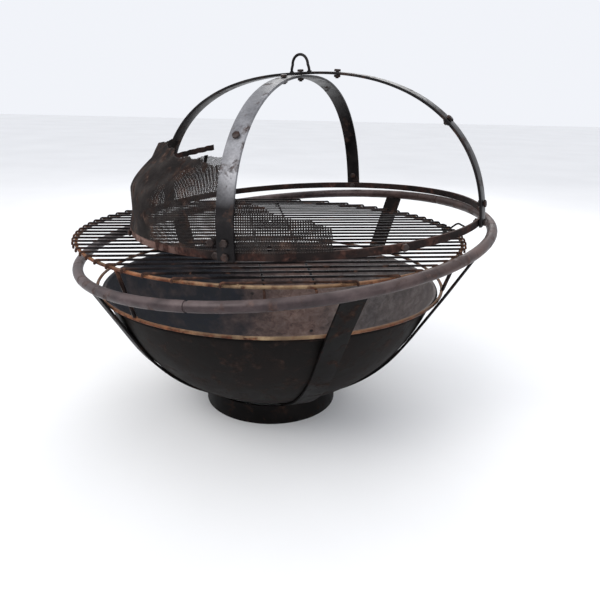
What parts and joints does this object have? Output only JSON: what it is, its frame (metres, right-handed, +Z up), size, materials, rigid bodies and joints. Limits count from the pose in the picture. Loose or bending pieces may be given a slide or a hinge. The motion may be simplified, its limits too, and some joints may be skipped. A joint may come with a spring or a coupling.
{
  "type": "fire pit",
  "caption": "Wood fire pit: round bowl in a strap frame with a tube rail, lift-off cooking grate with a wire handle, and a strap-and-mesh spark guard dome.",
  "frame": {"origin": "on the ground under the centre of the tube rail (bottom centre of the overall box)", "axes": "+Z up; -Y towards the viewer's side; the grate's rods run nearly along X"},
  "size_m": [0.7553, 0.7594, 0.6474],
  "materials": {
    "rail_paint": "worn, dusty brown",
    "strap_paint": "sooty black",
    "bowl_steel": "burnt, ashy inside",
    "ring_rust": "heat-scaled and rusty",
    "rod_steel": "blackened",
    "guard_paint": "satin dark grey",
    "hoop_rust": "rusty",
    "mesh_rust": "blackened, rusty expanded metal",
    "bolt_steel": "dull"
  },
  "bodies": {
    "frame": {"rail_1": "rail_paint", "rail_2": "rail_paint", "rail_3": "rail_paint", "leg_strap_1": "strap_paint", "leg_strap_2": "strap_paint", "leg_strap_3": "strap_paint", "leg_strap_4": "strap_paint", "leg_strap_5": "strap_paint", "base_hoop": "strap_paint"},
    "bowl": {"fire_bowl": "bowl_steel"},
    "grate": {"grate_ring": "ring_rust", "lower_ring": "ring_rust", "grate_post_1": "ring_rust", "grate_post_2": "ring_rust", "grate_post_3": "ring_rust", "cross_rod_1": "rod_steel", "cross_rod_2": "rod_steel", "grate_rod_01": "rod_steel", "grate_rod_02": "rod_steel", "grate_rod_03": "rod_steel", "grate_rod_04": "rod_steel", "grate_rod_05": "rod_steel", "grate_rod_06": "rod_steel", "grate_rod_07": "rod_steel", "grate_rod_08": "rod_steel", "grate_rod_09": "rod_steel", "grate_rod_10": "rod_steel", "grate_rod_11": "rod_steel", "grate_rod_12": "rod_steel", "grate_rod_13": "rod_steel", "grate_rod_14": "rod_steel", "grate_rod_15": "rod_steel", "grate_rod_16": "rod_steel", "grate_rod_17": "rod_steel", "grate_rod_18": "rod_steel", "grate_rod_19": "rod_steel", "grate_rod_20": "rod_steel", "grate_rod_21": "rod_steel", "grate_rod_22": "rod_steel", "grate_rod_23": "rod_steel", "grate_rod_24": "rod_steel", "grate_rod_25": "rod_steel", "grate_rod_26": "rod_steel", "grate_rod_27": "rod_steel", "grate_rod_28": "rod_steel"},
    "handle": {"grate_handle": "strap_paint"},
    "guard": {"guard_hoop": "hoop_rust", "lower_arch": "guard_paint", "upper_arch": "guard_paint", "lifting_loop": "guard_paint", "band_remnant": "hoop_rust", "mesh_front_left": "mesh_rust", "mesh_front_right": "mesh_rust", "mesh_back_left": "mesh_rust", "foot_bolt_1": "bolt_steel", "foot_bolt_2": "bolt_steel", "foot_bolt_3": "bolt_steel", "foot_bolt_4": "bolt_steel", "crown_bolt": "bolt_steel", "band_bolt": "bolt_steel"}
  },
  "joints": [
    {"name": "bowl_lift", "type": "slide", "parent": "frame", "child": "bowl", "axis": [0, 0, 1], "range_m": [0, 0.07]},
    {"name": "grate_lift", "type": "slide", "parent": "frame", "child": "grate", "axis": [0, 0, 1], "range_m": [0, 0.15]},
    {"name": "guard_lift", "type": "slide", "parent": "grate", "child": "guard", "axis": [0, 0, 1], "range_m": [0, 0.2]},
    {"name": "handle_swing", "type": "hinge", "parent": "grate", "child": "handle", "pos_m": [0.31952, 0.04206, 0.33404], "axis": [0.1219, -0.9925, 0], "range_deg": [0, 100]}
  ]
}
